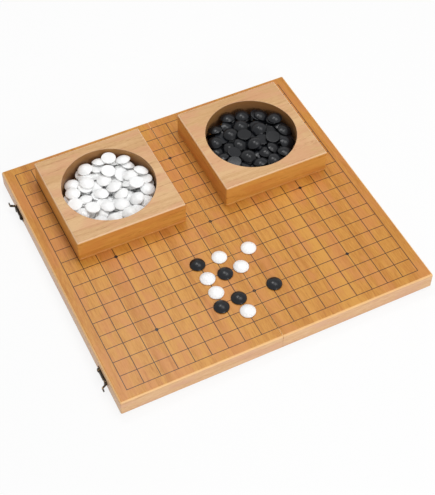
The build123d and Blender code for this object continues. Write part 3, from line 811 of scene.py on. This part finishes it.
@dataclass
class Stones:
    """Flat-bottomed domed stones."""

    diameter: float = 0.022
    rim: float = 0.0017             # height of the edge under the dome
    dome: float = 0.0044            # rise of the dome above the edge
    lower_round: float = 0.0012     # rounding of the lower edge
    heap_scale: float = 0.985       # stones in a heap, so that they clear each other
    crisp: float = 50.0             # degrees from which an edge isn't smoothed over
    detail = {"top": (24, 5), "low": (14, 2), "played": (56, 14)}   # segments and bands

    def shell(self, segments: int, bands: int) -> Shell:
        """One stone, standing on the origin: its profile is a flat, an arc and a dome.

        Args:
            segments: Points round it.
            bands: Bands up its dome.

        Returns:
            The closed surface.
        """
        radius = self.diameter / 2
        curve = (radius**2 + self.dome**2) / (2 * self.dome)
        edge = math.degrees(math.asin(radius / curve))
        low = arc((radius - self.lower_round, self.lower_round), self.lower_round, -90, 0, 4)
        high = arc((0, self.rim + self.dome - curve), curve, 90 - edge, 90, bands + 1)
        return turned(np.concatenate([[[0, 0]], low, high]), segments)

    def found(self, node: str) -> tuple[np.ndarray, np.ndarray, np.ndarray]:
        """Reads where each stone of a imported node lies.

        A stone's largest triangle is part of its flat underside, whose points are all the
        stone's points in that plane.

        Args:
            node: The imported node.

        Returns:
            Middles of the undersides, directions of the domes, and each stone's number of points.
        """
        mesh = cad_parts[node].data
        points = np.empty(len(mesh.vertices) * 3, np.float32)
        mesh.vertices.foreach_get("co", points)
        corners = np.empty(len(mesh.loops), np.int32)
        mesh.loops.foreach_get("vertex_index", corners)
        merged, owner = np.unique(points.reshape(-1, 3).round(7), axis=0, return_inverse=True)
        triangles = owner.reshape(-1)[corners].reshape(-1, 3)
        label = np.arange(len(merged))
        while True:
            least = label[triangles].min(axis=1)
            before = label.copy()
            for corner in range(3):
                np.minimum.at(label, triangles[:, corner], least)
            if (before == label).all():
                break
        a, b, c = merged[triangles].transpose(1, 0, 2).astype(float)
        normals = np.cross(b - a, c - a)
        areas = np.linalg.norm(normals, axis=1)
        middles, domes, counts = [], [], []
        for own in np.unique(label):
            mine = np.flatnonzero(label[triangles[:, 0]] == own)
            flat = mine[np.argmax(areas[mine])]
            down = normals[flat] / areas[flat]
            cloud = merged[label == own].astype(float)
            depth = (cloud - a[flat]) @ down
            middles.append(cloud[np.abs(depth) < 1e-5].mean(axis=0))
            domes.append(-down)
            counts.append(len(cloud))
        return np.array(middles), np.array(domes), np.array(counts)

    def shade(self, piece: bpy.types.Object, count: int, seed: int) -> None:
        """Gives each stone of a piece its own shade.

        Args:
            piece: The piece.
            count: Number of stones in it.
            seed: Start of the random shades.
        """
        shades = np.random.default_rng(seed).random(count)
        each = len(piece.data.vertices) // count
        attribute = piece.data.attributes.new("shade", "FLOAT", "POINT")
        attribute.data.foreach_set("value", np.repeat(shades, each).astype(np.float32))

    def heap(self, node: str, material: bpy.types.Material, body: str, seed: int) -> None:
        """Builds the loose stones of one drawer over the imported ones.

        Args:
            node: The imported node.
            material: The stones' material.
            body: The body that they ride on.
            seed: Start of their random shades.
        """
        middles, domes, counts = self.found(node)
        turns = turns_to(domes)
        shown = counts > np.median(counts)
        for suffix, wanted in (("top", shown), ("low", ~shown)):
            shell = self.shell(*self.detail[suffix])
            shell = Shell(shell.points * self.heap_scale, shell.faces)
            piece = shell.placed(turns[wanted], middles[wanted]).piece(f"{node}_{suffix}")
            self.shade(piece, int(wanted.sum()), seed)
            finish(piece, material, body, self.crisp)
            if suffix == "top":
                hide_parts(node)
        log.info("%s: %d stones", node, len(middles))

    def played(self, node: str, material: bpy.types.Material, body: str, seed: int) -> None:
        """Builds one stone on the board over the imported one.

        Args:
            node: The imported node.
            material: The stone's material.
            body: The body that it rides on.
            seed: Start of its random shade.
        """
        low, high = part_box(node)
        foot = np.array([[(low.x + high.x) / 2, (low.y + high.y) / 2, low.z]])
        shell = self.shell(*self.detail["played"]).placed(np.eye(3)[None], foot)
        piece = shell.piece(f"{node}_dressed")
        self.shade(piece, 1, seed)
        finish(piece, material, body, self.crisp)
        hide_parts(node)


def turns_to(directions: np.ndarray) -> np.ndarray:
    """Rotations that take +Z to each direction.

    Args:
        directions: Rows of unit vectors.

    Returns:
        One 3 by 3 rotation for each, whose columns are its x, y and z axes.
    """
    helper = np.where(np.abs(directions[:, :1]) < 0.9, [[1.0, 0.0, 0.0]], [[0.0, 1.0, 0.0]])
    y = np.cross(directions, helper)
    y /= np.linalg.norm(y, axis=1, keepdims=True)
    x = np.cross(y, directions)
    return np.stack([x, y, directions], axis=-1)


@dataclass
class Drawer:
    """A thick block with a round well on a thin base."""

    corner: float = 0.002
    top_round: float = 0.0028
    well: float = 0.0675            # radius
    lip: float = 0.0008             # rounding of the well's edge
    base_edge: float = 0.0009       # rounding of the base's edges, which leaves a dark line
    turns: int = 160                # directions round the drawer
    corner_turns: int = 14          # more of them at each corner
    rim_painted_shade: float = 0.5          # share of painted shade on the well's wall at the rim
    painted_shade_growth: float = 1.2          # how fast that painted shade grows down the wall, as a share of its height

    def angles(self, half: Vector) -> np.ndarray:
        """Directions round the drawer, closer together at its corners.

        Args:
            half: Half its size.

        Returns:
            Sorted angles in radians.
        """
        even = np.linspace(0, 2 * np.pi, self.turns, endpoint=False)
        from_x = math.atan2(half.y - self.corner, half.x)
        to_x = math.atan2(half.y, half.x - self.corner)
        near = np.linspace(from_x, to_x, self.corner_turns)
        corners = np.concatenate([near, np.pi - near, np.pi + near, 2 * np.pi - near])
        return np.unique(np.concatenate([even, corners]).round(6))

    def row(self, angles: np.ndarray, half: Vector, inset: float, z: float) -> np.ndarray:
        """Points at one height round the drawer, in from its outline by an inset."""
        corner = max(self.corner - inset, SHARP)
        return ring(angles, outline_reach(angles, half.x - inset, half.y - inset, corner), z)

    def block_shell(self, size: Vector) -> Shell:
        """The block: a profile of inset and height carried round a rounded rectangle.

        Args:
            size: Its length, width and height.

        Returns:
            The closed surface, standing on the origin.
        """
        half, height = size / 2, size.z
        angles = self.angles(half)
        bend = arc((self.top_round, height - self.top_round), self.top_round, 180, 90, 9)
        rows = [self.row(angles, half, *place) for place in [(0.0, 0.0), *bend]]
        lip = arc((self.well + self.lip, height - self.lip), self.lip, 90, 180, 6)
        rows += [ring(angles, *place) for place in [*lip, (self.well, 0.0)]]
        faces = ring_faces(len(rows), len(angles), closed=True).tolist()
        return Shell(np.concatenate(rows), faces)

    def base_shell(self, size: Vector) -> Shell:
        """The base: a slab with slightly rounded edges.

        Args:
            size: Its length, width and thickness.

        Returns:
            The closed surface, standing on the origin.
        """
        half, edge = size / 2, self.base_edge
        angles = self.angles(half)
        low = arc((edge, edge), edge, 270, 180, 4)
        high = arc((edge, size.z - edge), edge, 180, 90, 4)
        rows = [self.row(angles, half, *place) for place in [*low, *high]]
        return capped(rows, 0.0, size.z)

    def build(self, colour: str, palette: Palette) -> None:
        """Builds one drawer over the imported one.

        Args:
            colour: Which stones it holds, white or black.
            palette: The finishes.
        """
        for part, shape, material, slot in (
            ("block", self.block_shell, palette.drawer, "drawer_wood"),
            ("base", self.base_shell, palette.drawer_base, "drawer_base_wood"),
        ):
            node = f"{colour}_drawer_{part}"
            low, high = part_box(node)
            middle, size = (low + high) / 2, high - low
            shell = shape(size)
            foot = np.array([[middle.x, middle.y, low.z]])
            piece = shell.placed(np.eye(3)[None], foot).piece(f"{node}_dressed")
            # painted shade on the well's wall, growing from the rim down to the bottom
            inside = np.hypot(*shell.points.T[:2]) < self.well + self.lip / 2
            fall = 1 - shell.points[:, 2] / size.z
            shade = np.clip(self.rim_painted_shade + fall * self.painted_shade_growth, 0, 1)
            depth = np.where(inside & (part == "block"), shade, 0.0)
            attribute = piece.data.attributes.new("painted_well_shade", "FLOAT", "POINT")
            attribute.data.foreach_set("value", depth.astype(np.float32))
            finish(piece, material, f"{colour}_drawer")
            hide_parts(node)
            log.info("%s: %d points", piece.name, len(shell.points))


@dataclass
class Case:
    """The two halves of the board."""

    rail_edge: float = 0.0003

    def build(self, palette: Palette) -> None:
        """Dresses the panels and rails.

        Args:
            palette: The finishes.
        """
        for side in ("left", "right"):
            body = f"{side}_half"
            finish(softened_copy(f"{side}_panel"), palette.board, body)
            for rail in ("outer", "seam", "front", "back"):
                wood = palette.side_rail if rail in ("outer", "seam") else palette.front_rail
                piece = softened_copy(f"{side}_{rail}_rail", self.rail_edge)
                finish(piece, wood, body)
            log.info("%s half dressed", side)


@dataclass
class Fittings:
    """Hinges, hooks and catches."""

    leaf_edge: float = 0.00012
    plate_edge: float = 0.0002
    hook_edge: float = 0.00035
    neck_share: float = 0.55        # radius of a rivet's neck as a share of its head's
    head_height: float = 0.0008
    head_rim: float = 0.0003        # upright part of the head's edge
    head_curve: float = 0.0035      # radius of its dome
    head_angle: float = 52.0        # degrees from the head's plane at which the dome starts

    def build(self, palette: Palette) -> None:
        """Dresses every metal part.

        Args:
            palette: The finishes.
        """
        for place in ("front", "back"):
            for side in ("left", "right"):
                leaf = softened_copy(f"{place}_hinge_{side}_leaf", self.leaf_edge)
                finish(leaf, palette.brass, f"{side}_half")
            pin = softened_copy(f"{place}_hinge_pin", self.leaf_edge)
            finish(pin, palette.brass, "left_half")
            for kind, edge, body in (
                ("hook_plate", self.plate_edge, "left_half"),
                ("hook", self.hook_edge, f"{place}_hook_arm"),
                ("catch_plate", self.plate_edge, "right_half"),
            ):
                piece = softened_copy(f"{place}_{kind}", edge)
                finish(piece, palette.bronze, body)
            self.headed_pin(f"{place}_hook_rivet", -1, "left_half", palette)
            self.headed_pin(f"{place}_catch_stud", 1, "right_half", palette)
        for node, body, material, slot in (
            ("left_hinge_screws", "left_half", palette.brass, "hinge_metal"),
            ("right_hinge_screws", "right_half", palette.brass, "hinge_metal"),
            ("hook_plate_screws", "left_half", palette.bronze, "latch_metal"),
            ("catch_plate_screws", "right_half", palette.bronze, "latch_metal"),
        ):
            finish(softened_copy(node), material, body)
        log.info("fittings dressed")

    def headed_pin(self, node: str, side: int, body: str, palette: Palette) -> None:
        """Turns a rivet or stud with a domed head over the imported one.

        Args:
            node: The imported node.
            side: Which end of the board it stands on, -1 left or 1 right.
            body: The body that it rides on.
            palette: The finishes.
        """
        low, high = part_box(node)
        middle, size = (low + high) / 2, high - low
        head, length = size.y / 2, size.x
        neck, under = head * self.neck_share, length - self.head_height
        dome = arc((0, length - self.head_curve), self.head_curve, self.head_angle, 90, 6)[1:]
        profile = np.concatenate([
            [[0, 0], [neck, 0], [neck, under], [head, under], [head, under + self.head_rim]],
            dome,
        ])
        profile[:, 0] = np.minimum(profile[:, 0], head)
        foot = low.x if side > 0 else high.x
        turns = turns_to(np.array([[float(side), 0.0, 0.0]]))
        piece = turned(profile, 32).placed(turns, np.array([[foot, middle.y, middle.z]]))
        piece = piece.piece(f"{node}_dressed")
        finish(piece, palette.bronze, body)
        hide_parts(node)


@dataclass
class Studio:
    """Camera, lights, floor and background."""

    camera_at: Point = (-0.4778, -0.9630, 1.3192)
    look: Point = (0.2821, 0.5545, -0.7829)
    right_rise: float = 0.0086      # z of the camera's right-hand direction
    lens: float = 85.79
    sensor: float = 36.0
    lamps = (                       # name, place, side in metres and power in watts
        ("overhead_softbox", (0.55, -0.1, 1.9), 0.8, 10.2),
        ("window_softbox", (0.05, 0.7, 1.75), 0.55, 9.5),
        ("front_softbox", (0.1, -1.9, 1.0), 0.5, 14.0),
    )
    room_light: float = 0.42        # how strongly the white room lights the set
    floor_half: float = 4.0         # half the floor's side
    floor_shade: float = 0.86
    floor_gap: float = 0.0002       # under the lowest metal
    floor_glow: float = 0.86        # share of plain white in the floor, which fades its shadow

    def camera(self) -> None:
        """Sets the camera where the photograph was taken from."""
        look = Vector(self.look).normalized()
        level = look.cross(Vector((0, 0, 1))).normalized()
        upward = level.cross(look)
        roll = math.asin(self.right_rise / upward.z)
        right = level * math.cos(roll) + upward * math.sin(roll)
        up = right.cross(look)
        data = bpy.data.cameras.new("camera")
        data.lens, data.sensor_width, data.sensor_fit = self.lens, self.sensor, "AUTO"
        data.clip_start, data.clip_end = 0.05, 20.0
        camera = bpy.data.objects.new("camera", data)
        turn = Matrix((right, up, -look)).transposed()
        camera.matrix_world = Matrix.Translation(self.camera_at) @ turn.to_4x4()
        bpy.context.scene.collection.objects.link(camera)
        bpy.context.scene.camera = camera

    def softbox(self, name: str, place: Point, size: float, power: float) -> None:
        """Adds a square lamp that faces the board.

        Args:
            name: The lamp's name.
            place: Where it hangs.
            size: Its side.
            power: Its power in watts.
        """
        data = bpy.data.lights.new(name, "AREA")
        data.size, data.energy = size, power
        lamp = bpy.data.objects.new(name, data)
        lamp.location = place
        lamp.rotation_euler = (-Vector(place)).to_track_quat("-Z", "Y").to_euler()
        bpy.context.scene.collection.objects.link(lamp)

    def seen(self, net: Net) -> bpy.types.NodeSocket:
        """1 for what the camera, a reflection or a clear piece sees, else 0."""
        path = net.add("ShaderNodeLightPath").outputs
        return net.most(*(path[f"Is {kind} Ray"] for kind in ("Camera", "Transmission", "Glossy")))

    def world(self) -> None:
        """A white room that lights evenly and shows as white."""
        world = bpy.data.worlds.new("white_room")
        world.use_nodes = True
        bpy.context.scene.world = world
        net = Net(world.node_tree)
        background = world.node_tree.nodes["Background"]
        shown = net.times(self.seen(net), 1.0 - self.room_light)
        net.give(background, Strength=net.plus(self.room_light, shown), Color=(1.0, 1.0, 1.0))

    def floor(self) -> None:
        """A plain white floor that keeps a faint shadow."""
        level, half = PACKED_BOX[0].z - self.floor_gap, self.floor_half
        points = np.array([[x * half, y * half, level]
                           for x, y in ((-1, -1), (1, -1), (1, 1), (-1, 1))])
        piece = Shell(points, [[0, 1, 2, 3]]).piece("floor")
        made, net, shader = new_material("floor_paper")
        net.give(shader, Base_Color=(self.floor_shade,) * 3, Roughness=0.9)
        glow = net.add("ShaderNodeEmission", Color=(1.0, 1.0, 1.0), Strength=1.0)
        mix = net.add("ShaderNodeMixShader")
        net.feed(mix.inputs[0], net.times(self.seen(net), self.floor_glow))
        net.feed(mix.inputs[1], shader.outputs[0])
        net.feed(mix.inputs[2], glow.outputs[0])
        net.give(made.node_tree.nodes["Material Output"], Surface=mix.outputs[0])
        piece.data.materials.append(made)

    def build(self) -> None:
        """Sets up everything round the object."""
        bpy.context.scene.view_settings.view_transform = "Standard"
        self.camera()
        for lamp in self.lamps:
            self.softbox(*lamp)
        self.world()
        self.floor()
        log.info("studio ready")


def main() -> None:
    """Builds the set in order and reports each part."""
    logging.basicConfig(level=logging.INFO, format="%(message)s")
    palette = Palette()
    Studio().build()
    Case().build(palette)
    Fittings().build(palette)
    drawer, stones = Drawer(), Stones()
    for seed, (colour, material) in enumerate(
        (("white", palette.white_stone), ("black", palette.black_stone)), start=1
    ):
        drawer.build(colour, palette)
        stones.heap(f"{colour}_stones", material, f"{colour}_drawer_stones", seed)
        for node in sorted(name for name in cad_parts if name.startswith(f"{colour}_played")):
            body = node.replace("_played_stone_", "_stone_on_board_")
            stones.played(node, material, body, seed + int(node[-1]))


if __name__ == "__main__":
    main()
